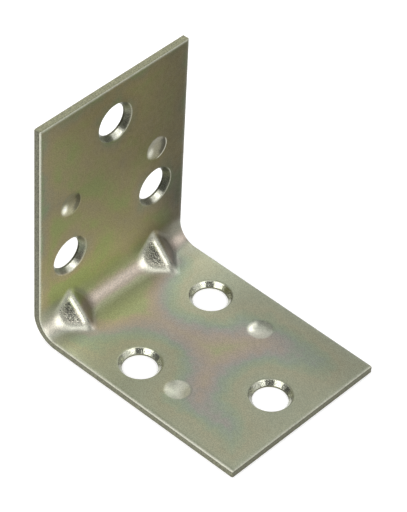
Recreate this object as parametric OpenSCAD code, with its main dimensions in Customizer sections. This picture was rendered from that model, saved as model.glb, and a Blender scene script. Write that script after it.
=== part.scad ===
// Corner brace bracket: one folded steel sheet with two legs at a right angle.
// The heel line, where the outer faces of the legs would meet, is the Y axis at mid width.
// The base leg lies on the floor along +X and the upright leg stands along +Z.
// Units are millimetres.

/* [Sheet] */
// Width of the bracket along the bend
bracket_width = 38.1; // [37:0.1:60]
// Length of the base leg, from the heel to its free end
base_length = 50.8; // [48:0.1:90]
// Height of the upright leg, from the heel to its free end
upright_height = 50.8; // [48:0.1:90]
// Thickness of the sheet
sheet_thickness = 1.5; // [1.2:0.05:2]
// Inside radius of the bend
bend_radius = 4; // [3.2:0.1:4.4]

/* [Sheared edges] */
// How far in from each side edge the inner face starts to roll over
side_roll_width = 1.1; // [0.4:0.05:1.5]
// How far the inner face has dropped at each side edge
side_roll_depth = 0.25; // [0.05:0.05:0.4]
// How far in from each free end the inner face starts to roll over
end_roll_width = 0.7; // [0.3:0.05:1.2]
// How far the inner face has dropped at each free end
end_roll_depth = 0.15; // [0.05:0.05:0.3]

/* [Screw holes] */
// Diameter of the straight part of every screw hole
hole_diameter = 6.8; // [5:0.1:7.4]
// Width of the bevel round each hole, at the inner face
hole_bevel_width = 0.8; // [0.2:0.05:1]
// Depth of the bevel round each hole
hole_bevel_depth = 1.05; // [0.3:0.05:1.1]
// Spacing of the two rows, across the bracket, that carry the paired holes, dents and ribs
row_spacing = 22.4; // [20:0.1:23.4]
// Distance from the heel to the nearer hole of each pair
near_hole_distance = 16.5; // [15.5:0.1:17.5]
// How much farther from the heel the other hole of the pair is
pair_stagger = 3.2; // [0:0.1:4]
// Distance from each free end to the centre of the single hole
end_hole_margin = 8.6; // [7:0.1:10]
// How far the whole pattern sits off the bend, towards the free end of the base
pattern_offset = 0.35; // [0:0.05:0.6]

/* [Dents] */
// Diameter of each shallow round dent at the inner face
dent_diameter = 5.2; // [3:0.1:6]
// Depth of each dent
dent_depth = 0.55; // [0.2:0.05:0.7]
// Distance from the heel to the dents
dent_distance = 29.3; // [28.5:0.1:31]

/* [Corner ribs] */
// Distance from the heel at which the crest of each pressed rib runs out on either leg
rib_reach = 7.2; // [6.4:0.1:8]
// Width of each rib where it rises from the inside of the bend
rib_width = 7.6; // [6.4:0.1:10]
// Radius of the rounded crest of each rib
rib_crest_radius = 2.3; // [0.6:0.1:2.4]
// Radius at the bottom of the hollow that each rib leaves on the outer side
hollow_crest_radius = 0.4; // [0.2:0.1:0.8]

/* [Hidden] */
$fn = 96;

outer_bend_radius = bend_radius + sheet_thickness;
// Extra length that lets a cutting shape pass clear of a surface
clear = 1;
// How much wider the bevel of a hole grows for each millimetre that it rises
bevel_flare = hole_bevel_width / hole_bevel_depth;
// How far the flanks of a rib run inside its round crest, so that the two cross cleanly
crest_overlap = 0.005;

// Distances along the bisector of the two legs, measured from the heel line
root_two = sqrt(2);
bend_centre_out = outer_bend_radius * root_two;
bend_inside_out = bend_centre_out - bend_radius;
crest_out = (sheet_thickness + rib_reach) / root_two;

// Slope of a rib's flanks: each starts at the foot of the rib and just touches the round crest
crest_centre_out = crest_out - rib_crest_radius;
foot_to_crest = norm([rib_width / 2, crest_centre_out - bend_inside_out]);
flank_angle = atan2(crest_centre_out - bend_inside_out, rib_width / 2)
    + asin(rib_crest_radius / foot_to_crest);
// The hollow keeps the sheet's thickness under the flanks
flank_apex_out = crest_centre_out + rib_crest_radius / cos(flank_angle);
hollow_apex_out = flank_apex_out - sheet_thickness / cos(flank_angle);
hollow_centre_out = hollow_apex_out - hollow_crest_radius / cos(flank_angle);
rib_length = 2 * (rib_reach + sheet_thickness) * root_two;

// A corner region whose curved side is tangent to the inner face and leaves it to the edge
module roll_corner(width, depth) {
    roll_radius = (width * width + depth * depth) / (2 * depth);
    translate([-width, -roll_radius])
        difference() {
            square([width + clear, roll_radius + clear]);
            circle(r = roll_radius);
        }
}

// Keeps a shape on the +Y side or turns it over to the -Y side
module on_side(side) {
    if (side > 0)
        children();
    else
        mirror([0, 1])
            children();
}

// Cross-section of the sheet: thickness along X, width along Y, inner face at X = thickness
module sheet_section() {
    difference() {
        translate([0, -bracket_width / 2])
            square([sheet_thickness, bracket_width]);
        for (side = [-1, 1])
            on_side(side)
                translate([sheet_thickness, bracket_width / 2])
                    mirror([1, -1])
                        roll_corner(side_roll_width, side_roll_depth);
    }
}

// Straight sheet of one leg, lying along +X from the end of the bend to the free end
module leg_sheet(leg_length) {
    straight = leg_length - outer_bend_radius;
    difference() {
        translate([outer_bend_radius, 0, 0])
            rotate([0, 90, 0])
                linear_extrude(height = straight)
                    mirror([1, 0])
                        sheet_section();
        translate([leg_length, 0, sheet_thickness])
            rotate([90, 0, 0])
                linear_extrude(height = bracket_width + 2 * clear, center = true)
                    roll_corner(end_roll_width, end_roll_depth);
    }
}

// Quarter turn of sheet between the two legs
module bend_sheet() {
    translate([outer_bend_radius, 0, outer_bend_radius])
        rotate([90, 0, 0])
            rotate([0, 0, 180])
                rotate_extrude(angle = 90)
                    translate([outer_bend_radius, 0])
                        mirror([1, 0])
                            sheet_section();
}

// Turns a shape made for the base leg over onto the upright leg, by half a turn about the bisector
module onto_upright() {
    rotate(a = 180, v = [1, 0, 1])
        children();
}

// Roof-shaped section: round crest and two sloping flanks, height from the heel along Y
module roof_section(centre_out, crest_radius) {
    flank_radius = crest_radius - crest_overlap;
    touch_across = flank_radius * sin(flank_angle);
    touch_out = centre_out + flank_radius * cos(flank_angle);
    heel_across = touch_across + touch_out / tan(flank_angle);
    translate([0, centre_out])
        circle(r = crest_radius);
    polygon([
        [-heel_across, 0],
        [heel_across, 0],
        [touch_across, touch_out],
        [-touch_across, touch_out]
    ]);
}

// Lays a section square to a rib's crest, which crosses the corner from leg to leg
module along_crest() {
    rotate([0, 45, 0])
        rotate([90, 0, 90])
            linear_extrude(height = rib_length, center = true)
                children();
}

// Everything on the inner side of the sheet's mid surface, as far as the ribs reach
module inside_of_fold() {
    reach = rib_reach + 2 * clear;
    mid = sheet_thickness / 2;
    rotate([90, 0, 0])
        linear_extrude(height = bracket_width, center = true) {
            translate([outer_bend_radius, mid])
                square([reach, reach]);
            translate([mid, outer_bend_radius])
                square([reach, reach]);
            translate([outer_bend_radius, outer_bend_radius])
                circle(r = bend_radius + mid);
        }
}

// Raised side of the two ribs
module ribs() {
    for (side = [-1, 1])
        translate([0, side * row_spacing / 2, 0])
            intersection() {
                along_crest()
                    roof_section(crest_centre_out, rib_crest_radius);
                inside_of_fold();
            }
}

// Hollows that the ribs leave on the outer side
module rib_hollows() {
    for (side = [-1, 1])
        translate([0, side * row_spacing / 2, 0])
            along_crest()
                roof_section(hollow_centre_out, hollow_crest_radius);
}

// One screw hole, straight through with a bevel at the inner face
module screw_hole() {
    translate([0, 0, -clear])
        cylinder(d = hole_diameter, h = sheet_thickness + 2 * clear);
    translate([0, 0, sheet_thickness - hole_bevel_depth])
        cylinder(
            d1 = hole_diameter,
            d2 = hole_diameter + 2 * bevel_flare * (hole_bevel_depth + clear),
            h = hole_bevel_depth + clear
        );
}

// One shallow round dent in the inner face
module dent() {
    dent_ball = (dent_diameter * dent_diameter / 4 + dent_depth * dent_depth) / (2 * dent_depth);
    translate([0, 0, sheet_thickness - dent_depth + dent_ball])
        sphere(r = dent_ball);
}

// Holes and dents of one leg, shifted by an amount along the leg
module leg_cuts(leg_length, shift) {
    row = row_spacing / 2;
    translate([near_hole_distance + shift, row, 0])
        screw_hole();
    translate([near_hole_distance + pair_stagger + shift, -row, 0])
        screw_hole();
    translate([leg_length - end_hole_margin + shift, 0, 0])
        screw_hole();
    for (side = [-1, 1])
        translate([dent_distance + shift, side * row, 0])
            dent();
}

module bracket() {
    color("darkkhaki")
        difference() {
            union() {
                leg_sheet(base_length);
                bend_sheet();
                onto_upright()
                    leg_sheet(upright_height);
                ribs();
            }
            rib_hollows();
            leg_cuts(base_length, pattern_offset);
            onto_upright()
                leg_cuts(upright_height, -pattern_offset);
        }
}

bracket();
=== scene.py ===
"""Looks of a corner brace bracket: one folded sheet of zinc-plated steel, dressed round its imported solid.

Lengths are in millimetres while the sheet is worked out, and in metres once a mesh, lamp or camera is made.
The sheet is drawn flat first: path runs along it from the upright's free end, over the bend, to the base
leg's free end, and is zero where the bend starts; across runs over its width and is zero at mid width.
Left and right are the sides on which across is below and above zero.
"""

import math

import bpy
import numpy as np
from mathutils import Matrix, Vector


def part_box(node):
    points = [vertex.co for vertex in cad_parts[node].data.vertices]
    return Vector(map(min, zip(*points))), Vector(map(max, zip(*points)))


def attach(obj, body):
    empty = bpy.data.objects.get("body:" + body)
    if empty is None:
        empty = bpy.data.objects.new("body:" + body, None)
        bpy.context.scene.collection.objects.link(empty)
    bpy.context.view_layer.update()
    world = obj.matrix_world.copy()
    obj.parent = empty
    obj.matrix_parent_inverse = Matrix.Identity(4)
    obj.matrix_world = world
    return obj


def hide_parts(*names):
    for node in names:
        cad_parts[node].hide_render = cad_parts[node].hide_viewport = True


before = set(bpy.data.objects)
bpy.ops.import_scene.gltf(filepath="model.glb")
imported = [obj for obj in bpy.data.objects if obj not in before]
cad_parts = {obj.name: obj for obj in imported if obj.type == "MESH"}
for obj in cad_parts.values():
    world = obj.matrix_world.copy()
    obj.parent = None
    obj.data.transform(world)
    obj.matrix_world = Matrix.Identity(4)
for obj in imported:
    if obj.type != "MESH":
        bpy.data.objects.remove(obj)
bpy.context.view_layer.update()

MM = 0.001
TINY = 1e-6
NEARLY_ZERO = 1e-9
PIECE = "folded_sheet"
SLOT = "plated_steel"

# Sheet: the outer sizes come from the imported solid
solid_low, solid_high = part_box("bracket")
BASE_LENGTH = solid_high.x / MM
UPRIGHT_HEIGHT = solid_high.z / MM
WIDTH = (solid_high.y - solid_low.y) / MM
THICKNESS = 1.5
INSIDE_BEND = 4.0
OUTSIDE_BEND = INSIDE_BEND + THICKNESS
UPRIGHT_RUN = UPRIGHT_HEIGHT - OUTSIDE_BEND
BASE_RUN = BASE_LENGTH - OUTSIDE_BEND
BEND_RUN = math.pi / 2 * (INSIDE_BEND + THICKNESS / 2)

# Edges: how the inner face rolls over at the sheared edges, and how the arrises and corners are worn
SIDE_ROLL = (1.1, 0.25)
END_ROLL = (0.7, 0.15)
ARRIS_RADIUS = 0.08
CORNER_RADIUS = 0.24

# Screw holes
HOLE_RADIUS = 3.4
BEVEL_WIDTH = 0.8
BEVEL_RIM = HOLE_RADIUS + BEVEL_WIDTH
BEVEL_DEPTH = 1.05
BEVEL_RIM_SOFTNESS = 0.24
HOLE_EXIT_RADIUS = 0.06
ROW = 11.2
NEAR_HOLE = 16.5
STAGGER = 3.2
END_MARGIN = 8.6
PATTERN_OFFSET = 0.35

# Dents
DENT_RADIUS = 2.55
DENT_DEPTH = 0.5
DENT_DISTANCE = 29.3
DENT_TIP = 2.4
DENT_RIM_SOFTNESS = 0.1

# Pressed ribs
RIB_REACH = 7.2
RIB_WIDTH = 7.6
CREST_RADIUS = 2.2
HOLLOW_CREST_RADIUS = 0.4
RIB_FOOT_SOFTNESS = (1.2, 1.9)
RIGHT_FOOT_SOFTNESS = 0.9
RIGHT_FOOT_FROM = (-0.3, 1.2)
HOLLOW_FOOT_SOFTNESS = 0.3


def base_path(distance):
    """Path position of a place on the base leg, from its distance to the heel."""
    return BEND_RUN + distance - OUTSIDE_BEND


def upright_path(distance):
    """Path position of a place on the upright leg, from its distance to the heel."""
    return OUTSIDE_BEND - distance


HOLES = [
    (base_path(NEAR_HOLE + PATTERN_OFFSET), ROW),
    (base_path(NEAR_HOLE + STAGGER + PATTERN_OFFSET), -ROW),
    (base_path(BASE_LENGTH - END_MARGIN + PATTERN_OFFSET), 0.0),
    (upright_path(NEAR_HOLE - PATTERN_OFFSET), -ROW),
    (upright_path(NEAR_HOLE + STAGGER - PATTERN_OFFSET), ROW),
    (upright_path(UPRIGHT_HEIGHT - END_MARGIN - PATTERN_OFFSET), 0.0),
]
DENTS = [
    (place, side * ROW)
    for place in (base_path(DENT_DISTANCE + PATTERN_OFFSET), upright_path(DENT_DISTANCE - PATTERN_OFFSET))
    for side in (-1, 1)
]


def smooth_step(value, low, high):
    """Goes from 0 to 1 as a value goes from low to high, with soft ends."""
    share = np.clip((value - low) / (high - low), 0, 1)
    return share * share * (3 - 2 * share)


def smooth_max(a, b, soft):
    """The larger of two heights, with the corner between them rounded over the given height."""
    return np.maximum(a, b) + np.maximum(soft - np.abs(a - b), 0) ** 2 / (4 * soft)


def heel_frame(path):
    """For places on the path: outer face's x and z, and the x and z of the normal that points inwards."""
    turn = np.clip(path / BEND_RUN, 0, 1) * math.pi / 2
    nx, nz = np.cos(turn), np.sin(turn)
    x = OUTSIDE_BEND * (1 - nx) + np.maximum(path - BEND_RUN, 0)
    z = OUTSIDE_BEND * (1 - nz) + np.maximum(-path, 0)
    return x, z, nx, nz


def lift(path, across, height, outward=None, offset=0.0):
    """Points in space at a height over the outer face, moved by offset along the flat direction outward."""
    x, z, nx, nz = heel_frame(path)
    points = np.stack([x + nx * height, across, z + nz * height], axis=-1)
    if outward is not None:
        along, sideways = outward[:, 0] * offset, outward[:, 1] * offset
        points += np.stack([nz * along, sideways, -nx * along], axis=-1)
    return points


# Rib section, as in the solid: a round crest with flanks that start at the foot and touch it
ROOT_TWO = math.sqrt(2)
BEND_INSIDE_OUT = OUTSIDE_BEND * ROOT_TWO - INSIDE_BEND
CREST_CENTRE_OUT = (THICKNESS + RIB_REACH) / ROOT_TWO - CREST_RADIUS
FLANK_ANGLE = math.atan2(CREST_CENTRE_OUT - BEND_INSIDE_OUT, RIB_WIDTH / 2) + math.asin(
    CREST_RADIUS / math.hypot(RIB_WIDTH / 2, CREST_CENTRE_OUT - BEND_INSIDE_OUT)
)
HOLLOW_CENTRE_OUT = (
    CREST_CENTRE_OUT + (CREST_RADIUS - THICKNESS - HOLLOW_CREST_RADIUS) / math.cos(FLANK_ANGLE)
)


def roof(sideways, centre_out, radius):
    """Distance of a rib's surface from the heel, along the bisector of the legs."""
    sideways = np.abs(sideways)
    touch = radius * math.sin(FLANK_ANGLE)
    crest = centre_out + np.sqrt(np.maximum(radius ** 2 - np.minimum(sideways, touch) ** 2, 0))
    return crest - np.maximum(sideways - touch, 0) * math.tan(FLANK_ANGLE)


def rib_height(path, across, centre_out, radius):
    """Height over the outer face of the surface of the nearer rib."""
    x, z, nx, nz = heel_frame(path)
    out = roof(np.abs(across) - ROW, centre_out, radius)
    return (out * ROOT_TWO - x - z) / (nx + nz)


def roll_drop(distance, width, depth):
    """How far a rolled edge has dropped at a distance from it."""
    radius = (width ** 2 + depth ** 2) / (2 * depth)
    reach = np.clip(width - distance, 0, width)
    return radius - np.sqrt(radius ** 2 - reach ** 2)


def nearest(path, across, places):
    """Distance on the flat sheet to the nearest of some places."""
    return np.min([np.hypot(path - p, across - a) for p, a in places], axis=0)


def around(path, across, places):
    """Distance on the flat sheet to the nearest of some places, and the run from it along and across."""
    along = np.array([path - p for p, a in places])
    sideways = np.array([across - a for p, a in places])
    far = np.hypot(along, sideways)
    pick = (np.argmin(far, axis=0), np.arange(len(path)))
    return far[pick], along[pick], sideways[pick]


def edge_distances(path, across):
    """Distances on the flat sheet to the nearer side edge and to the nearer free end."""
    side = WIDTH / 2 - np.abs(across)
    end = np.minimum(path + UPRIGHT_RUN, BEND_RUN + BASE_RUN - path)
    return side, end


def from_crest(across):
    """How far to the right of the nearer rib's crest a place lies."""
    return across - np.sign(across) * ROW


def foot_softness(path, across):
    """Height over which a rib's foot is rounded: most on the base leg, and least to the crest's right."""
    left = np.interp(path, [0, BEND_RUN], RIB_FOOT_SOFTNESS)
    return left + (RIGHT_FOOT_SOFTNESS - left) * smooth_step(from_crest(across), *RIGHT_FOOT_FROM)


def inner_height(path, across):
    """Height of the inner face over the outer face of the plain sheet."""
    height = smooth_max(
        np.full_like(path, THICKNESS),
        rib_height(path, across, CREST_CENTRE_OUT, CREST_RADIUS),
        foot_softness(path, across),
    )
    side, end = edge_distances(path, across)
    height = height - np.hypot(roll_drop(side, *SIDE_ROLL), roll_drop(end, *END_ROLL))
    inside_rim = BEVEL_RIM - nearest(path, across, HOLES)
    height = height - smooth_max(0 * path, inside_rim * BEVEL_DEPTH / BEVEL_WIDTH, BEVEL_RIM_SOFTNESS)
    reach = np.hypot(nearest(path, across, DENTS), DENT_TIP)
    rim_reach = math.hypot(DENT_RADIUS, DENT_TIP)
    sunk = DENT_DEPTH * (rim_reach - reach) / (rim_reach - DENT_TIP)
    return height - smooth_max(0 * path, sunk, DENT_RIM_SOFTNESS)


def outer_height(path, across):
    """Height of the outer face over that of the plain sheet."""
    height = smooth_max(
        0 * path,
        rib_height(path, across, HOLLOW_CENTRE_OUT, HOLLOW_CREST_RADIUS),
        HOLLOW_FOOT_SOFTNESS,
    )
    lip = np.clip(HOLE_RADIUS + HOLE_EXIT_RADIUS - nearest(path, across, HOLES), 0, HOLE_EXIT_RADIUS)
    rounding = HOLE_EXIT_RADIUS - np.sqrt(HOLE_EXIT_RADIUS ** 2 - lip ** 2)
    return height + rounding


# Flat plan of the sheet: a grid of lines with rings round each hole and dent
HOLE_PATCH = 5.0
DENT_PATCH = 3.4
HOLE_RINGS = [HOLE_RADIUS + out for out in (1.2, 1.02, 0.94, 0.86, 0.78, 0.7, 0.6, 0.45, 0.22, 0.06, 0.0)]
DENT_RINGS = [
    DENT_RADIUS + out for out in (0.45, 0.23, 0.13, 0.05, -0.03, -0.13, -0.35, -0.7, -1.15, -1.6, -2.05)
]
PATH_SPACING = 0.5
ACROSS_SPACING = 0.4
RIB_SPACING = 0.25
EDGE_SPACING = 0.12
RIB_ZONE_ALONG = 2.8
RIB_ZONE_ACROSS = 2.0


def spread(places, spacing):
    """Grid lines through all the given places, and evenly between them no wider than spacing(middle)."""
    places = sorted({round(place, 6) for place in places})
    lines = [places[0]]
    for start, end in zip(places, places[1:]):
        count = math.ceil((end - start) / spacing((start + end) / 2) - TINY)
        lines += [start + (end - start) * k / count for k in range(1, count + 1)]
    return np.array(lines)


def plan_lines():
    """Grid lines along and across the flat sheet, which stops an arris radius inside its outline."""
    last_across = WIDTH / 2 - ARRIS_RADIUS
    first, last = ARRIS_RADIUS - UPRIGHT_RUN, BEND_RUN + BASE_RUN - ARRIS_RADIUS
    across = {0.0, ROW - RIB_ZONE_ACROSS, ROW + RIB_ZONE_ACROSS}
    across |= {last_across, last_across - CORNER_RADIUS, last_across - SIDE_ROLL[0]}
    path = {-RIB_ZONE_ALONG, 0.0, BEND_RUN, BEND_RUN + RIB_ZONE_ALONG}
    path |= {first, first + CORNER_RADIUS, first + END_ROLL[0]}
    path |= {last, last - CORNER_RADIUS, last - END_ROLL[0]}
    for places, half in ((HOLES, HOLE_PATCH), (DENTS, DENT_PATCH)):
        for p, a in places:
            path |= {p - half, p + half}
            across |= {abs(a + half), abs(a - half)}
    across |= {-a for a in across}

    def across_spacing(a):
        if abs(a) > last_across - SIDE_ROLL[0]:
            return EDGE_SPACING
        return RIB_SPACING if abs(abs(a) - ROW) < RIB_ZONE_ACROSS else ACROSS_SPACING

    def path_spacing(p):
        if min(p - first, last - p) < END_ROLL[0]:
            return EDGE_SPACING
        return RIB_SPACING if -RIB_ZONE_ALONG < p < BEND_RUN + RIB_ZONE_ALONG else PATH_SPACING

    return spread(path, path_spacing), spread(across, across_spacing)


def square_loop(rows, columns, index):
    """Grid vertices round a block of cells, counter-clockwise."""
    (i0, i1), (j0, j1) = rows, columns
    loop = [index(i, j0) for i in range(i0, i1)]
    loop += [index(i1, j) for j in range(j0, j1)]
    loop += [index(i, j1) for i in range(i1, i0, -1)]
    return loop + [index(i0, j) for j in range(j1, j0, -1)]


def add_rings(places, faces, outer, middle, radii):
    """Adds rings of places and faces from a loop in to the last radius, and gives the last ring."""
    p, a = middle
    turns = [math.atan2(places[k][1] - a, places[k][0] - p) for k in outer]
    for radius in radii:
        ring = list(range(len(places), len(places) + len(turns)))
        places += [(p + radius * math.cos(t), a + radius * math.sin(t)) for t in turns]
        for k in range(len(ring)):
            m = (k + 1) % len(ring)
            faces.append((outer[k], outer[m], ring[m], ring[k]))
        outer = ring
    return outer


def add_fan(places, faces, ring, middle):
    """Closes a ring with faces that meet at its middle."""
    centre = len(places)
    places.append(middle)
    faces += [(ring[k], ring[(k + 1) % len(ring)], centre) for k in range(len(ring))]


def block_lines(lines, middle, half):
    """Numbers of the grid lines at both sides of a patch."""
    return tuple(int(np.argmin(np.abs(lines - edge))) for edge in (middle - half, middle + half))


def flat_plan():
    """The flat sheet: places, faces, the loop of its outline and the loop of each hole."""
    path_lines, across_lines = plan_lines()
    count_i, count_j = len(path_lines), len(across_lines)
    grid_path, grid_across = np.meshgrid(path_lines, across_lines, indexing="ij")
    places = list(zip(grid_path.ravel().tolist(), grid_across.ravel().tolist()))

    def index(i, j):
        return i * count_j + j

    faces, hole_loops, taken = [], [], set()
    patches = [(hole, HOLE_PATCH, HOLE_RINGS, True) for hole in HOLES]
    patches += [(dent, DENT_PATCH, DENT_RINGS, False) for dent in DENTS]
    for middle, half, radii, is_open in patches:
        rows = block_lines(path_lines, middle[0], half)
        columns = block_lines(across_lines, middle[1], half)
        taken |= {(i, j) for i in range(*rows) for j in range(*columns)}
        ring = add_rings(places, faces, square_loop(rows, columns, index), middle, radii)
        if is_open:
            hole_loops.append(ring)
        else:
            add_fan(places, faces, ring, middle)
    for i in range(count_i - 1):
        for j in range(count_j - 1):
            if (i, j) not in taken:
                faces.append((index(i, j), index(i + 1, j), index(i + 1, j + 1), index(i, j + 1)))
    outline = square_loop((0, count_i - 1), (0, count_j - 1), index)
    return np.array(places), faces, outline, hole_loops


def without_spares(places, faces, outline, hole_loops):
    """The same plan without the places that no face uses."""
    used = sorted({k for face in faces for k in face})
    number = {k: n for n, k in enumerate(used)}
    faces = [tuple(number[k] for k in face) for face in faces]
    outline = [number[k] for k in outline]
    hole_loops = [[number[k] for k in loop] for loop in hole_loops]
    return places[used], faces, outline, hole_loops


def rounded_corners(places):
    """Draws the sheet's corners in to an arc, and gives each place's outward direction on the sheet."""
    places = places.copy()
    outward = np.zeros_like(places)
    low, high = places.min(0), places.max(0)
    on_edge = (np.abs(places - low) < TINY) | (np.abs(places - high) < TINY)
    side = np.where(places > (low + high) / 2, 1.0, -1.0)
    outward[on_edge] = side[on_edge]
    corner = np.where(side > 0, high - CORNER_RADIUS, low + CORNER_RADIUS)
    local = (places - corner) * side / CORNER_RADIUS
    inside = (local > NEARLY_ZERO).all(1)
    reach, length = local.max(1), np.hypot(local[:, 0], local[:, 1])
    drawn = local * (reach / np.maximum(length, NEARLY_ZERO))[:, None]
    places[inside] = (corner + drawn * side * CORNER_RADIUS)[inside]
    outward[inside] = (drawn * side)[inside]
    length = np.hypot(outward[:, 0], outward[:, 1])
    return places, outward / np.maximum(length, NEARLY_ZERO)[:, None]


# Rows of points down the sheared edges and the hole walls
ARRIS_STEP = (0.7, 0.3)
CUT_ROWS = [(0.25, 0.0), (0.5, 0.02), (0.75, 0.04)]
TOOTH_SIZE = 0.012
WALL_ROWS = [0.08, 0.5, 0.92]


def tooth(seed, count, size):
    """Repeatable rough values round a closed loop, softened a little."""
    values = np.random.default_rng(seed).normal(0, size, count)
    return (np.roll(values, 1) + 2 * values + np.roll(values, -1)) / 4


def cut_face_rows(top, bottom):
    """Offsets and heights down a sheared edge: an arris, the cut face with its tooth, and an arris."""
    out, down = ARRIS_STEP
    deep = top - bottom - 2 * ARRIS_RADIUS
    rows = [(out * ARRIS_RADIUS, top - down * ARRIS_RADIUS), (ARRIS_RADIUS, top - ARRIS_RADIUS)]
    for share, recess in CUT_ROWS:
        rough = tooth(int(100 * share), len(top), TOOTH_SIZE) * share
        rows.append((ARRIS_RADIUS - recess - np.abs(rough), top - ARRIS_RADIUS - share * deep))
    rows.append((ARRIS_RADIUS, bottom + ARRIS_RADIUS))
    rows.append((out * ARRIS_RADIUS, bottom + down * ARRIS_RADIUS))
    return rows


def hole_wall_rows(top, bottom):
    """Offsets and heights down the wall of a hole."""
    return [(0.0, top + share * (bottom - top)) for share in WALL_ROWS]


class Shell:
    """The folded sheet as a closed shell, which starts with its inner and outer faces."""

    def __init__(self, plan_faces, places, outward):
        self.places, self.outward, self.count = places, outward, len(places)
        path, across = places[:, 0], places[:, 1]
        self.top, self.bottom = inner_height(path, across), outer_height(path, across)
        self.points = [lift(path, across, self.top), lift(path, across, self.bottom)]
        self.faces = list(plan_faces)
        self.faces += [tuple(k + self.count for k in reversed(face)) for face in plan_faces]
        self.flat_at = [places, places]
        self.sheared = [np.zeros(self.count), np.zeros(self.count)]
        self.inner = [np.ones(self.count), np.zeros(self.count)]
        self.total = 2 * self.count

    def add_row(self, loop, offset, height):
        """Adds a row of sheared points beside a loop, and gives their numbers."""
        flat = self.places[loop]
        self.points.append(lift(flat[:, 0], flat[:, 1], height, self.outward[loop], offset))
        self.flat_at.append(flat)
        self.sheared.append(np.ones(len(loop)))
        self.inner.append(np.ones(len(loop)))
        self.total += len(loop)
        return list(range(self.total - len(loop), self.total))

    def join(self, loop, rows, turned):
        """Joins the inner face to the outer one along a loop, through rows of offsets and heights."""
        rings = [loop] + [self.add_row(loop, offset, height) for offset, height in rows]
        rings.append([k + self.count for k in loop])
        for upper, lower in zip(rings, rings[1:]):
            for k in range(len(loop)):
                m = (k + 1) % len(loop)
                face = (upper[k], lower[k], lower[m], upper[m])
                self.faces.append(tuple(reversed(face)) if turned else face)


def sheet_mesh():
    """The folded sheet as one closed mesh, with masks for what has been done to its surface and for its
    painted highlights and painted shade.
    """
    places, plan_faces, outline, hole_loops = without_spares(*flat_plan())
    shell = Shell(plan_faces, *rounded_corners(places))
    shell.join(outline, cut_face_rows(shell.top[outline], shell.bottom[outline]), False)
    for loop in hole_loops:
        shell.join(loop, hole_wall_rows(shell.top[loop], shell.bottom[loop]), True)
    mesh = bpy.data.meshes.new(PIECE)
    mesh.from_pydata((np.concatenate(shell.points) * MM).tolist(), [], shell.faces)
    mesh.update()
    facts = (np.concatenate(kept) for kept in (shell.flat_at, shell.sheared, shell.inner))
    add_masks(mesh, Skin(*facts))
    return mesh


def sector(turn, middle, half, soft):
    """1 in a sector of directions in degrees, with soft sides."""
    off = (turn - middle + 180) % 360 - 180
    return 1 - smooth_step(np.abs(off), half, half + soft)


def sectors(turn, triples):
    """The strongest of several sectors."""
    return np.maximum.reduce([sector(turn, *triple) for triple in triples])


def peak(value, middle, width):
    """A rounded peak of 1 about a middle value."""
    return np.exp(-((value - middle) / width) ** 2)


def near(value, middle, reach):
    """1 at a middle value, and 0 from a reach away on."""
    return 1 - np.clip(np.abs(value - middle) / reach, 0, 1)


# Passivation film: its thickness is counted in millimetres of distance from the nearest hole or edge
FILM_JOIN = 6.0
FILM_MIDDLE = (base_path(25.0), 3.0)
FILM_MIDDLE_GAIN = 1.3
FILM_MIDDLE_REACH = 9.0
FILM_BEND_GAIN = 4.0
FILM_BEND_FADE = 6.0
FILM_BEND_SIDES = 14.0
FILM_STRIP = 8.3
FILM_STRIP_WIDTH = 2.2
FILM_BAND_PLACES = [0.0, 8.0, 13.0, 16.0, 19.0, 22.5, 27.0, 36.0, 48.0, 70.0]
FILM_BAND_VALUES = [13.5, 12.8, 11.8, 11.0, 9.6, 12.4, 11.2, 10.4, 10.8, 12.0]
FILM_THIN = 3.0
FILM_EDGE_SHARE = 0.4
FILM_EDGE_REACH = 4.0

# Painted shade on the upright: its film is drawn light low and to the left, and darker beyond that
DARK_SLOPE = 0.79
DARK_FROM = (0.0, 36.0)

# Painted light and shade: how light the film is drawn along the sheet, and how it falls off towards the
# right
TONE_PLACES = [-45.0, -25.0, -12.0, -5.0, 0.0, 8.0, 11.0, 15.0, 24.0, 36.0, 48.0]
TONE_VALUES = [0.95, 0.88, 1.14, 1.4, 1.22, 1.45, 1.84, 1.52, 1.08, 0.95, 0.86]
TONE_FALL_BASE = 0.006
TONE_FALL_RIM = 0.12
TONE_RIM_FROM = (8, 14)
TONE_FALL_PLACES = [-45.0, -20.0, -8.0]
TONE_FALL_VALUES = [0.3, 0.3, 0.7]
TONE_FALL_FROM = (5, 17)


def film_on_base(path, across):
    """The base's film thins out towards holes and edges, and is thick in its middle and by the bend."""
    side, end = edge_distances(path, across)
    from_hole = nearest(path, across, HOLES) - HOLE_RADIUS
    film = -smooth_max(-from_hole, -np.minimum(side, end), FILM_JOIN)
    film = film + FILM_MIDDLE_GAIN * peak(nearest(path, across, [FILM_MIDDLE]), 0, FILM_MIDDLE_REACH)
    near_bend = np.exp(-np.maximum(path - BEND_RUN, 0) / FILM_BEND_FADE)
    return film + FILM_BEND_GAIN * near_bend * np.clip(side / FILM_BEND_SIDES, 0, 1)


def film_on_upright(path, across):
    """The upright's film lies in slanted bands, and thins out close to holes and edges."""
    open_run = np.minimum(*edge_distances(path, across))
    from_hole = nearest(path, across, HOLES) - HOLE_RADIUS
    film = np.interp(OUTSIDE_BEND - path + across, FILM_BAND_PLACES, FILM_BAND_VALUES)
    inland = np.clip(np.minimum(from_hole, open_run) / FILM_EDGE_REACH, 0, 1)
    return FILM_THIN + (film - FILM_THIN) * (FILM_EDGE_SHARE + (1 - FILM_EDGE_SHARE) * inland)


def film_thickness(path, across):
    """Thickness of the film on both legs, with a strip of its own along the bend."""
    film = film_on_upright(path, across)
    film = film + (film_on_base(path, across) - film) * smooth_step(path, 0, BEND_RUN)
    return film + (FILM_STRIP - film) * peak(path, BEND_RUN / 2, FILM_STRIP_WIDTH)


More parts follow.
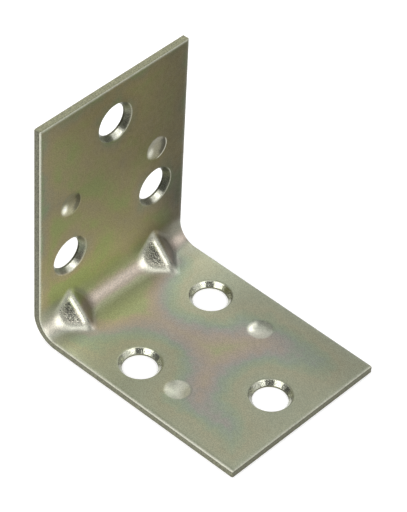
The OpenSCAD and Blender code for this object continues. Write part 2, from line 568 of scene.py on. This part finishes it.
def painted_light_along_sheet(path, across):
    """Painted light and shade: how light the film is drawn beside its plain colour."""
    painted_tone = np.interp(path, TONE_PLACES, TONE_VALUES)
    on_base = smooth_step(path, 0, BEND_RUN)
    base_fall = TONE_FALL_BASE * across + TONE_FALL_RIM * smooth_step(across, *TONE_RIM_FROM)
    upright_fall = np.interp(path, TONE_FALL_PLACES, TONE_FALL_VALUES)
    upright_fall = upright_fall * smooth_step(across, *TONE_FALL_FROM)
    return painted_tone * (1 - on_base * base_fall - (1 - on_base) * upright_fall)


def upright_painted_shade(path, across):
    """How much painted shade the film would get if it were the upright's."""
    up = np.maximum(OUTSIDE_BEND - path, 0)
    return smooth_step(across + DARK_SLOPE * up, *DARK_FROM)


# Stretch in which the upright's marks give way to the base's, and how far a rib covers the bend's marks
LEG_CHANGE = (-1.5, BEND_RUN)
RIB_COVER_RISE = 0.6
RIB_COVER_FOOT = 0.3


class Skin:
    """What is known of each point of the mesh: flat place, face, leg, side, and the rise of the ribs."""

    def __init__(self, flat_at, sheared, inner):
        self.path, self.across = flat_at[:, 0], flat_at[:, 1]
        self.sheared, self.inner = sheared, inner
        self.side, self.end = edge_distances(self.path, self.across)
        self.on_upright = 1 - smooth_step(self.path, *LEG_CHANGE)
        self.on_base = 1 - self.on_upright
        self.is_left, self.is_right = self.across < 0, self.across > 0
        self.rise = rib_height(self.path, self.across, CREST_CENTRE_OUT, CREST_RADIUS) - THICKNESS
        self.rib = np.clip(self.rise / RIB_COVER_RISE + RIB_COVER_FOOT, 0, 1)

    def spots(self, places):
        """Run to the nearest of some places, the run along and across, and the direction in degrees."""
        reach, along, sideways = around(self.path, self.across, places)
        return reach, along, sideways, np.degrees(np.arctan2(sideways, along))


# Marks on a rib: runs are counted across from its crest, and rises from the face of the plain sheet
# The facet, the crest, the right flank and the right foot get painted shade, and the foot a painted
# highlight
FACET_SIDE = (0.85, 1.15)
FACET_RISE = (0.1, 0.75)
FACET_DOWN = (0.3, 0.95)
FACET_SHADES = (0.65, 0.29)
FOOT_SIDE = (-0.6, 0.6)
FOOT_RISE = 0.1
FLANK_SIDE = (0.3, 1.0)
RIGHT_FOOT_SIDE = (0.6, 1.6)
RIGHT_FOOT_RISE = -0.2
RIGHT_FOOT_BAND = 1.2
CREST_RISE = (0.0, 1.0)
CREST_LEFT = (-1.1, -0.85)
CREST_RIGHT = (0.2, 0.7)


def rib_marks(skin):
    """A stretched facet on each rib's left, drawn darker as painted shade; its foot, lighter as painted
    highlight, and its crest; and the flank and foot on its right, drawn darker as painted shade.
    """
    lean, softness = from_crest(skin.across), foot_softness(skin.path, skin.across)
    facet = skin.inner * smooth_step(-lean, *FACET_SIDE)
    facet = facet * smooth_step(skin.rise, FACET_RISE[0] * softness, FACET_RISE[1] * softness)
    high_shade, low_shade = FACET_SHADES
    down = smooth_step(skin.path / BEND_RUN, *FACET_DOWN)
    right_foot = skin.inner * smooth_step(lean, *RIGHT_FOOT_SIDE)
    crest = skin.inner * smooth_step(skin.rise, *CREST_RISE) * smooth_step(lean, *CREST_LEFT)
    return {
        "facet": facet,
        "facet_shade": facet * (high_shade + (low_shade - high_shade) * down),
        "foot": skin.inner * smooth_step(-lean, *FOOT_SIDE) * near(skin.rise, FOOT_RISE, softness),
        "right_flank": skin.inner * skin.rib * smooth_step(lean, *FLANK_SIDE),
        "right_foot": right_foot * near(skin.rise, RIGHT_FOOT_RISE, RIGHT_FOOT_BAND),
        "crest": crest * (1 - smooth_step(lean, *CREST_RIGHT)),
    }


# Marks on the bevels, most of them painted highlights and painted shade by direction: a sector is its
# middle, its half width and its soft run, in degrees
BEVEL_MARGIN = 0.05
BEVEL_FADE = 0.25
BEVEL_LINE_WIDTH = 0.1
BEVEL_LIT = [(18, 14, 12)]
BEVEL_DARK = [(63, 16, 30)]
BEVEL_LEFT = [(325, 22, 20)]
BEVEL_LINE = [(65, 50, 25)]
BEVEL_GRAIN = [(135, 5, 8), (84, 5, 8), (207, 8, 8)]
BEVEL_SIDES = [(232, 18, 16), (66, 10, 12)]
BEVEL_SIDES_OUT = (3.9, 4.2)


def bevel_marks(skin):
    """The holes' bevels, polished by the punch, with painted highlights and painted shade on their sides by
    direction, and grained sectors.
    """
    to_hole, _, _, turn = skin.spots(HOLES)
    rim = BEVEL_RIM + BEVEL_MARGIN
    bevel = skin.inner * np.clip((rim - to_hole) / BEVEL_FADE, 0, 1)
    base, upright = bevel * skin.on_base, bevel * skin.on_upright
    line = skin.inner * skin.on_upright * peak(to_hole, rim, BEVEL_LINE_WIDTH)
    return {
        "base_bevel": base,
        "upright_bevel": upright,
        # Painted highlights: bevel_lit and bevel_line; painted shade: bevel_dark, bevel_left and
        # bevel_sides
        "bevel_lit": upright * sectors(turn, BEVEL_LIT),
        "bevel_dark": upright * sectors(turn, BEVEL_DARK),
        "bevel_left": upright * sectors(turn, BEVEL_LEFT),
        "bevel_line": line * sectors(turn, BEVEL_LINE),
        "bevel_grain": base * sectors(turn, BEVEL_GRAIN),
        "bevel_sides": base * sectors(turn, BEVEL_SIDES) * (1 - smooth_step(to_hole, *BEVEL_SIDES_OUT)),
    }


# Marks in the dents, mostly painted highlights and painted shade: runs are counted from a dent's middle
DENT_MARGIN = 0.1
DENT_FADE = 0.5
DENT_LINE_OUT = 0.05
DENT_LINE_WIDTH = 0.1
DENT_LINE = [(60, 45, 20)]
DENT_HIGHLIGHT_AT = (0.7, -1.25)
DENT_HIGHLIGHT_AREA = 0.75
DENT_HIGHLIGHT_STEEPNESS = 1.5
DENT_RIM_RUN = (2.4, 2.62)
DENT_DARK = [(78, 38, 30)]
DENT_DARK_FROM = (1.2, 1.95)
DENT_BACK = [(92, 34, 30)]
DENT_BACK_FROM = (1.0, 1.9)
DENT_GLINT = [(195, 30, 25)]
DENT_GLINT_AT = 1.75
DENT_GLINT_WIDTH = 0.4
DENT_PALE_FROM = (-1.3, 0.6)
DENT_PALE_OUT = (2.2, 2.6)


def dent_marks(skin):
    """The dents, polished by the punch, with a painted highlight spot, a painted highlight rim line, a
    painted glint, a paler painted side and sides drawn darker as painted shade.
    """
    to_dent, along, sideways, turn = skin.spots(DENTS)
    dent = skin.inner * np.clip((DENT_RADIUS + DENT_MARGIN - to_dent) / DENT_FADE, 0, 1)
    base, upright = skin.inner * skin.on_base, skin.inner * skin.on_upright
    line = upright * peak(to_dent, DENT_RADIUS + DENT_LINE_OUT, DENT_LINE_WIDTH) * sectors(turn, DENT_LINE)
    # Painted highlight: a lighter spot in each upright dent
    off_highlight = (along - DENT_HIGHLIGHT_AT[0]) ** 2 + (sideways - DENT_HIGHLIGHT_AT[1]) ** 2
    lightening = upright * np.exp(-(off_highlight / DENT_HIGHLIGHT_AREA) ** DENT_HIGHLIGHT_STEEPNESS)
    inside = 1 - smooth_step(to_dent, *DENT_RIM_RUN)
    # Painted shade on the dents' far sides, a painted glint and a paler painted side on the base's dents
    painted_shade = upright * sectors(turn, DENT_DARK) * smooth_step(to_dent, *DENT_DARK_FROM)
    back = base * skin.is_right * sectors(turn, DENT_BACK) * smooth_step(to_dent, *DENT_BACK_FROM)
    glint = base * skin.is_right * peak(to_dent, DENT_GLINT_AT, DENT_GLINT_WIDTH)
    pale = base * skin.is_left * smooth_step(along + sideways, *DENT_PALE_FROM)
    return {
        "base_dent": dent * skin.on_base,
        "upright_dent": dent * skin.on_upright,
        "left_dent_line": line * skin.is_left,
        "right_dent_line": line * skin.is_right,
        "left_dent_rub": lightening * skin.is_left,
        "right_dent_rub": lightening * skin.is_right,
        "dent_dark": painted_shade * inside,
        "dent_back": back * inside,
        "dent_glint": glint * sectors(turn, DENT_GLINT),
        "dent_pale": pale * (1 - smooth_step(to_dent, *DENT_PALE_OUT)),
    }


# Marks on the bend, among them painted highlights: runs are counted from its middle, from its sides or
# across from mid width
BEND_LINE_OFF = 0.2
BEND_LINE_WIDTH = 1.5
BEND_LINE_COVER = 0.8
BEND_END_OFF = 0.3
BEND_END_WIDTH = 1.8
BEND_END_FROM = (ROW + 1, ROW + 4)
BEND_ZONE = (-2.5, 0.5)
BEND_RUB = 0.22
BEND_SIDE_RUB = (0.6, 0.1)
BEND_SIDE_FROM = (4, ROW + 3)


def bend_marks(skin):
    """The bend: rubbed bare by the press, the bare zinc reaching further towards its left, a rosy painted
    highlight along its middle and a painted highlight at its left end.
    """
    out, plain = np.abs(skin.across), 1 - skin.rib
    # A rosy painted highlight along the bend's middle, and a painted highlight at its left end
    line = peak(skin.path, BEND_RUN / 2 + BEND_LINE_OFF, BEND_LINE_WIDTH) * plain
    end = peak(skin.path, BEND_RUN / 2 + BEND_END_OFF, BEND_END_WIDTH) * smooth_step(out, *BEND_END_FROM)
    zone = smooth_step(skin.path, *BEND_ZONE) * smooth_step(BEND_RUN - skin.path, *BEND_ZONE)
    lightening = BEND_RUB + np.where(skin.is_left, *BEND_SIDE_RUB) * smooth_step(out, *BEND_SIDE_FROM)
    return {
        "bend_line": skin.inner * line,
        "bend_end": skin.inner * skin.is_left * end,
        "bend_rub": zone * lightening * plain * (1 - BEND_LINE_COVER * line),
    }


# Marks along the edges: runs are counted in from the edge
CUT_END_REACH = 0.2
SIDE_RUB_RUN = (0.15, 0.6)
END_RUB_RUN = (0.2, 0.7)
SIDE_ARRIS_RUN = (0.12, 0.5)
END_ARRIS_RUN = (0.1, 0.4)


def edge_marks(skin):
    """Rubbed strips beside the edges, the left one lighter partly as painted highlight, painted highlights
    along the left and end arrises, and the cut faces, with painted light on the upper one and painted shade
    on the others.
    """
    side_rub = 1 - smooth_step(skin.side, *SIDE_RUB_RUN)
    side_arris = 1 - smooth_step(skin.side, *SIDE_ARRIS_RUN)
    cut_end = skin.sheared * (skin.end < CUT_END_REACH)
    cut_rest = skin.sheared - cut_end * (skin.path < 0)
    return {
        "left_side": side_rub * skin.is_left,
        "right_side": side_rub * skin.is_right,
        "free_end": 1 - smooth_step(skin.end, *END_RUB_RUN),
        "left_arris": skin.inner * skin.is_left * side_arris,
        "end_arris": skin.inner * (1 - smooth_step(skin.end, *END_ARRIS_RUN)),
        "cut": skin.sheared,
        # Cut faces: the upper one gets painted light and the others painted shade, through the gains
        "cut_top": cut_end * (skin.path < 0),
        "cut_end": cut_end * (skin.path > 0),
        "cut_rest": cut_rest,
        "cut_rest_upright": cut_rest * skin.on_upright,
    }


# How strongly each mark shows in each mask of the material
STRENGTHS = {
    # Bare zinc rubbed by the press; on the upright's bevels it is also drawn where light would catch them
    # (bevel_lit), a painted highlight, and the left side's strip is lighter partly as painted highlight
    "bare": {
        "facet": 0.8, "foot": 0.9, "crest": 0.9, "base_bevel": 0.75, "upright_bevel": 0.4,
        "bevel_lit": 1.0, "base_dent": 0.65, "upright_dent": 0.3, "bend_rub": 1.0, "left_side": 0.9,
        "right_side": 0.15, "free_end": 0.35,
    },
    # Painted highlights: light zinc drawn where light would catch the foot, bevels, dents, bend end and
    # arrises
    "painted_highlight": {
        "foot": 0.4, "bevel_lit": 0.7, "bevel_line": 0.5, "left_dent_rub": 1.0, "right_dent_rub": 0.6,
        "left_dent_line": 0.175, "right_dent_line": 0.7, "dent_glint": 1.0, "dent_pale": 0.6,
        "bend_end": 0.6, "left_arris": 1.0, "end_arris": 0.4,
    },
    # Painted highlight: a rosy line along the bend
    "rose_highlight": {"bend_line": 1.0},
    "polished": {
        "facet": 0.8, "foot": 0.6, "crest": 0.72, "base_bevel": 0.86, "upright_bevel": 0.44,
        "base_dent": 0.25, "upright_dent": 0.45, "bend_rub": 0.3,
    },
    "grained": {
        "facet": 1.0, "base_bevel": 0.05, "upright_bevel": 0.05, "bevel_dark": 0.35,
        "bevel_grain": 0.22, "cut": 0.35,
    },
}

# Painted shade: how much each mark dims the surface, where the strongest counts; and how much marks add to
# its lightness, as painted light on the upper cut face and the dents' painted highlights and painted shade
# on the other cut faces
DIMMING = {
    "facet_shade": 1.0, "right_flank": 0.45, "right_foot": 0.35, "crest": 0.15, "bevel_dark": 0.65,
    "bevel_left": 0.25, "bevel_sides": 0.38, "dent_dark": 0.6, "dent_back": 0.3,
}
GAINS = {
    "cut_top": 0.2, "cut_end": -0.24, "cut_rest": -0.12, "cut_rest_upright": -0.25,
    "left_dent_rub": 0.6, "dent_glint": 0.25,
}


def strongest(marks, strengths):
    """The strongest of several marks at each point."""
    return np.maximum.reduce([strength * marks[name] for name, strength in strengths.items()])


def add_masks(mesh, skin):
    """Keeps, for each point, what the press, the shears and the plating bath have done to the surface, and
    its painted highlights, painted shade and painted light.
    """
    marks = {}
    for part_marks in (rib_marks, bevel_marks, dent_marks, bend_marks, edge_marks):
        marks.update(part_marks(skin))
    masks = {name: strongest(marks, strengths) for name, strengths in STRENGTHS.items()}
    gain = 1 + sum(strength * marks[name] for name, strength in GAINS.items())
    masks.update({
        # Painted shade and painted light, multiplied into the colour
        "shade": gain * (1 - strongest(marks, DIMMING)),
        "sheared": skin.sheared,
        "film": film_thickness(skin.path, skin.across),
        "painted_tone": painted_light_along_sheet(skin.path, skin.across),
        "upright": skin.on_upright,
        "painted_shade": upright_painted_shade(skin.path, skin.across),
        "flat_path": skin.path,
        "flat_across": skin.across,
    })
    for name, values in masks.items():
        layer = mesh.attributes.new(name, "FLOAT", "POINT")
        layer.data.foreach_set("value", values.astype(np.float32))


def linear(red, green, blue):
    """Linear colour of one given as a screen shows it, 0 to 255."""
    shares = [value / 255 for value in (red, green, blue)]
    return [s / 12.92 if s <= 0.04045 else ((s + 0.055) / 1.055) ** 2.4 for s in shares] + [1.0]


class Graph:
    """Short ways to add the nodes of one material. Sizes are in millimetres."""

    def __init__(self, material):
        material.use_nodes = True
        self.tree = material.node_tree
        self.tree.nodes.clear()
        self.places = self.add("TexCoord").outputs["Object"]

    def add(self, kind, inputs=None, **settings):
        """A node; each input is a number, a colour or another node's output."""
        node = self.tree.nodes.new("ShaderNode" + kind)
        for name, value in settings.items():
            setattr(node, name, value)
        for key, value in (inputs or {}).items():
            if isinstance(value, bpy.types.NodeSocket):
                self.tree.links.new(value, node.inputs[key])
            else:
                node.inputs[key].default_value = value
        return node

    def math(self, operation, first, second, third=0.0):
        """Result of arithmetic on two or three numbers."""
        return self.add("Math", {0: first, 1: second, 2: third}, operation=operation).outputs[0]

    def mask(self, name):
        """Values that the mesh keeps for each point."""
        return self.add("Attribute", attribute_name=name).outputs["Fac"]

    def noise(self, size, detail, places=None, per_unit=1 / MM):
        """Cloudy values about a half."""
        inputs = {"Vector": places or self.places, "Scale": per_unit / size, "Detail": detail}
        return self.add("TexNoise", inputs).outputs["Fac"]

    def spread(self, value, low, high, to_low, to_high):
        """A value's range from low to high, turned into another range and held within it."""
        inputs = {"Value": value, "From Min": low, "From Max": high, "To Min": to_low, "To Max": to_high}
        return self.add("MapRange", inputs).outputs["Result"]

    def blend(self, share, first, second, blend_type="MIX"):
        """Mix of two colours."""
        inputs = {0: share, 6: first, 7: second}
        return self.add("Mix", inputs, data_type="RGBA", blend_type=blend_type).outputs[2]

    def between(self, share, first, second):
        """Mix of two numbers."""
        return self.add("Mix", {0: share, 2: first, 3: second}, data_type="FLOAT").outputs[0]

    def tint(self, colour, other):
        """Colour times another."""
        return self.blend(1.0, colour, other, "MULTIPLY")

    def brighten(self, colour, factor):
        """Colour times a number."""
        grey = self.add("CombineColor", {"Red": factor, "Green": factor, "Blue": factor})
        return self.tint(colour, grey.outputs["Color"])

    def ramp(self, value, stops):
        """Colour of a value between 0 and 1, through a list of places and colours."""
        node = self.add("ValToRGB", {"Fac": value})
        elements = node.color_ramp.elements
        for place, colour in stops[1:-1]:
            elements.new(place).color = colour
        for element, (place, colour) in zip(elements, stops):
            element.position = place
            element.color = colour
        return node.outputs["Color"]


# Colours that the film takes as it thickens
FILM_FULL = 14.0
FILM_COLOURS = [
    (0.0, (149, 153, 132)),
    (3.4, (152, 151, 127)),
    (4.9, (143, 151, 128)),
    (6.1, (139, 148, 132)),
    (7.3, (147, 144, 136)),
    (8.6, (154, 144, 132)),
    (10.4, (157, 147, 127)),
    (11.6, (154, 150, 122)),
    (12.6, (149, 153, 117)),
    (14.0, (147, 153, 116)),
]
# Tint of the upright's film: yellower than the base's, and lightened as painted light
UPRIGHT_TINT = (1.16, 1.19, 0.92, 1)
# Painted shade: colour that the upright's film is multiplied by where it is drawn darker
PAINTED_SHADE_TINT = (0.36, 0.34, 0.205, 1)
BARE_ZINC = linear(186, 187, 173)
# Colour of the painted highlights
HIGHLIGHT_ZINC = linear(228, 228, 212)
# Colour of the rosy painted highlight along the bend
ROSE_HIGHLIGHT = linear(210, 196, 183)
CUT_STEEL = linear(118, 118, 93)
CUT_COVER = 0.9

# Sizes in millimetres of what varies over the surface, each with its detail
CLOUDS = (6.0, 3.0)
RIPPLES = (1.2, 3.0)
GRAIN = (0.22, 1.0)
SATIN = (0.9, 4.0)
WAVES = (2.6, 2.0)
SHEAR_LINES = (0.22, 2.0)

# How far clouds and ripples shift the film, and how far the grain changes the colour
CLOUD_SHIFT = 5.0
UPRIGHT_CLOUDS = 2.0
RIPPLE_SHIFT = 2.0
SPECKLE_FROM = (0.34, 0.64)
PLAIN_SPECKLE = (0.86, 1.15)
GRAINED_SPECKLE = (0.35, 1.75)

# Gloss
SATIN_FROM = (0.3, 0.7)
SATIN_ROUGHNESS = (0.43, 0.54)
POLISHED_ROUGHNESS = 0.12
CUT_ROUGHNESS = 0.5
FILM_METALLIC = 0.7

# Fine relief: its unit in millimetres, and its heights in that unit
RELIEF_UNIT = 0.02
PLAIN_GRAIN_HEIGHT = 0.8
GRAINED_HEIGHT = 8.0
WAVE_HEIGHT = 1.2
SHEAR_HEIGHT = 2.0


def film_colour(graph, cloud):
    """Colour of the film: its bands and blotches, its tint on each leg, painted shade on the upright,
    painted light and shade along the sheet and a rosy painted highlight along the bend.
    """
    upright = graph.mask("upright")
    wander = graph.math("MULTIPLY_ADD", cloud, CLOUD_SHIFT, -CLOUD_SHIFT / 2)
    wander = graph.math("MULTIPLY", wander, graph.between(upright, 1.0, UPRIGHT_CLOUDS))
    ripple = graph.math("MULTIPLY_ADD", graph.noise(*RIPPLES), RIPPLE_SHIFT, -RIPPLE_SHIFT / 2)
    film = graph.math("ADD", graph.math("ADD", graph.mask("film"), wander), ripple)
    stops = [(thickness / FILM_FULL, linear(*colour)) for thickness, colour in FILM_COLOURS]
    colour = graph.ramp(graph.math("DIVIDE", film, FILM_FULL), stops)
    colour = graph.blend(upright, colour, graph.tint(colour, UPRIGHT_TINT))
    # Painted shade on the upright, drawn into the film colour
    painted_shade = graph.math("MULTIPLY", upright, graph.mask("painted_shade"))
    colour = graph.blend(painted_shade, colour, graph.tint(colour, PAINTED_SHADE_TINT))
    return graph.blend(graph.mask("rose_highlight"), graph.brighten(colour, graph.mask("painted_tone")), ROSE_HIGHLIGHT)


def steel_colour(graph, grain):
    """Colour of the whole surface: film, bare zinc, painted highlights, cut steel, the speckle of the
    grain, and painted shade and light.
    """
    colour = film_colour(graph, graph.noise(*CLOUDS))
    colour = graph.blend(graph.mask("bare"), colour, BARE_ZINC)
    # Painted highlights
    colour = graph.blend(graph.mask("painted_highlight"), colour, HIGHLIGHT_ZINC)
    colour = graph.blend(graph.math("MULTIPLY", graph.mask("sheared"), CUT_COVER), colour, CUT_STEEL)
    grained = graph.mask("grained")
    low, high = (
        graph.between(grained, plain, rough) for plain, rough in zip(PLAIN_SPECKLE, GRAINED_SPECKLE)
    )
    speckle = graph.spread(grain, *SPECKLE_FROM, low, high)
    return graph.brighten(colour, graph.math("MULTIPLY", speckle, graph.mask("shade")))


def steel_roughness(graph):
    """Satin plating, polished where the press has rubbed it, and duller on the cut faces."""
    roughness = graph.spread(graph.noise(*SATIN), *SATIN_FROM, *SATIN_ROUGHNESS)
    roughness = graph.between(graph.mask("polished"), roughness, POLISHED_ROUGHNESS)
    return graph.between(graph.mask("sheared"), roughness, CUT_ROUGHNESS)


def steel_relief(graph, grain):
    """Fine relief: the grain, the sheet's soft waves and the lines that the shears leave."""
    flat = graph.add("CombineXYZ", {"X": graph.mask("flat_path"), "Y": graph.mask("flat_across")})
    shear_lines = graph.noise(*SHEAR_LINES, flat.outputs[0], 1.0)
    shear_lines = graph.math("MULTIPLY", shear_lines, SHEAR_HEIGHT)
    grain_height = graph.between(graph.mask("grained"), PLAIN_GRAIN_HEIGHT, GRAINED_HEIGHT)
    height = graph.math("MULTIPLY", grain, grain_height)
    height = graph.math("ADD", height, graph.math("MULTIPLY", graph.noise(*WAVES), WAVE_HEIGHT))
    height = graph.math("ADD", height, graph.math("MULTIPLY", graph.mask("sheared"), shear_lines))
    bump = graph.add("Bump", {"Height": height, "Distance": RELIEF_UNIT * MM, "Strength": 1.0})
    return bump.outputs["Normal"]


def plated_steel():
    """Zinc-plated steel with a thin passivation film that shows faint interference colours, and painted
    highlights and painted shade in its colour.
    """
    material = bpy.data.materials.new(SLOT)
    graph = Graph(material)
    grain = graph.noise(*GRAIN)
    shader = graph.add("BsdfPrincipled", {
        "Base Color": steel_colour(graph, grain),
        "Metallic": graph.between(graph.mask("polished"), FILM_METALLIC, 1.0),
        "Roughness": steel_roughness(graph),
        "Normal": steel_relief(graph, grain),
    })
    graph.add("OutputMaterial", {"Surface": shader.outputs[0]})
    return material


# Faces that meet at more than this many degrees are drawn with a sharp edge
SHARP_FROM = 32


def add_bracket():
    """The dressed sheet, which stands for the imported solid."""
    mesh = sheet_mesh()
    mesh.materials.append(plated_steel())
    piece = bpy.data.objects.new(PIECE, mesh)
    bpy.context.scene.collection.objects.link(piece)
    mesh.shade_smooth()
    mesh.set_sharp_from_angle(angle=math.radians(SHARP_FROM))
    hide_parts("bracket")
    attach(piece, "root")
    return piece


# Floor
FLOOR_HALF = 3.0
FLOOR_DROP = 0.02
FLOOR_COLOUR = (0.8, 0.8, 0.8, 1)
FLOOR_GLOW = 0.4


def floor_material():
    """Pale and matt, with a glow where it is seen straight, mirrored or through glass."""
    material = bpy.data.materials.new("floor")
    graph = Graph(material)
    diffuse = graph.add("BsdfDiffuse", {"Color": FLOOR_COLOUR})
    ray = graph.add("LightPath").outputs
    seen = graph.math("MAXIMUM", ray["Is Camera Ray"], ray["Is Glossy Ray"])
    seen = graph.math("MAXIMUM", seen, ray["Is Transmission Ray"])
    glow = graph.add("Emission", {"Strength": graph.math("MULTIPLY", seen, FLOOR_GLOW)})
    both = graph.add("AddShader", {0: diffuse.outputs[0], 1: glow.outputs[0]})
    graph.add("OutputMaterial", {"Surface": both.outputs[0]})
    return material


def add_floor():
    """Pale floor that keeps the object's shadow."""
    mesh = bpy.data.meshes.new("floor")
    corners = [(x * FLOOR_HALF, y * FLOOR_HALF) for x, y in ((-1, -1), (1, -1), (1, 1), (-1, 1))]
    mesh.from_pydata([(x, y, -FLOOR_DROP * MM) for x, y in corners], [], [(0, 1, 2, 3)])
    mesh.materials.append(floor_material())
    floor = bpy.data.objects.new("floor", mesh)
    bpy.context.scene.collection.objects.link(floor)


# Soft lamps: name, azimuth and elevation in degrees, distance and size in metres, and radiance
LAMPS = [
    ("right_box", -3, 38, 1.0, (0.45, 0.55), 3.2),
    ("left_box", -89, 36, 1.0, (0.75, 0.55), 3.2),
    ("back_box", 105, 39, 1.2, (0.7, 0.16), 3.2),
    ("right_panel", 31, 29, 1.2, (0.8, 0.9), 0.95),
    ("left_strip", -157, 36, 1.2, (0.4, 0.9), 2.0),
    ("back_panel", 132, 40, 1.4, (2.0, 1.8), 1.0),
    ("top", -46, 70, 1.2, (0.8, 0.6), 1.3),
]
LAMP_TARGET = Vector((0.02, 0, 0.015))
ROOM_COLOUR = (0.2, 0.2, 0.2, 1)


def add_softbox(name, azimuth, elevation, distance, size, radiance):
    """A rectangular soft lamp that looks at the bracket from a direction given in degrees."""
    data = bpy.data.lights.new(name, "AREA")
    data.shape = "RECTANGLE"
    data.size, data.size_y = size
    data.energy = radiance * math.pi * size[0] * size[1]
    lamp = bpy.data.objects.new(name, data)
    bpy.context.scene.collection.objects.link(lamp)
    turn, rise = math.radians(azimuth), math.radians(elevation)
    way = Vector((math.cos(rise) * math.cos(turn), math.cos(rise) * math.sin(turn), math.sin(rise)))
    lamp.location = LAMP_TARGET + way * distance
    lamp.rotation_mode = "QUATERNION"
    lamp.rotation_quaternion = way.to_track_quat("Z", "Y")


def add_light():
    """Softboxes in front, behind and above, pale panels round them, and a grey room."""
    for lamp in LAMPS:
        add_softbox(*lamp)
    world = bpy.data.worlds.new("surround")
    bpy.context.scene.world = world
    world.use_nodes = True
    world.node_tree.nodes["Background"].inputs["Color"].default_value = ROOM_COLOUR


# Camera, fitted to the bracket's outline: place in metres, turn in degrees, lens and sensor in millimetres
CAMERA_PLACE = (0.27815471, -0.28927297, 0.38580457)
CAMERA_TURN = (46.73960262, -2.27145411, 43.39820236)
CAMERA_LENS = 205.0215
CAMERA_SENSOR = 36.0
CAMERA_RANGE = (0.01, 20.0)


def add_camera():
    """The photograph's view."""
    data = bpy.data.cameras.new("camera")
    data.sensor_width = CAMERA_SENSOR
    data.lens = CAMERA_LENS
    data.clip_start, data.clip_end = CAMERA_RANGE
    camera = bpy.data.objects.new("camera", data)
    bpy.context.scene.collection.objects.link(camera)
    camera.location = CAMERA_PLACE
    camera.rotation_euler = [math.radians(angle) for angle in CAMERA_TURN]
    bpy.context.scene.camera = camera


bpy.context.scene.view_settings.view_transform = "Standard"
add_camera()
add_light()
add_floor()
add_bracket()
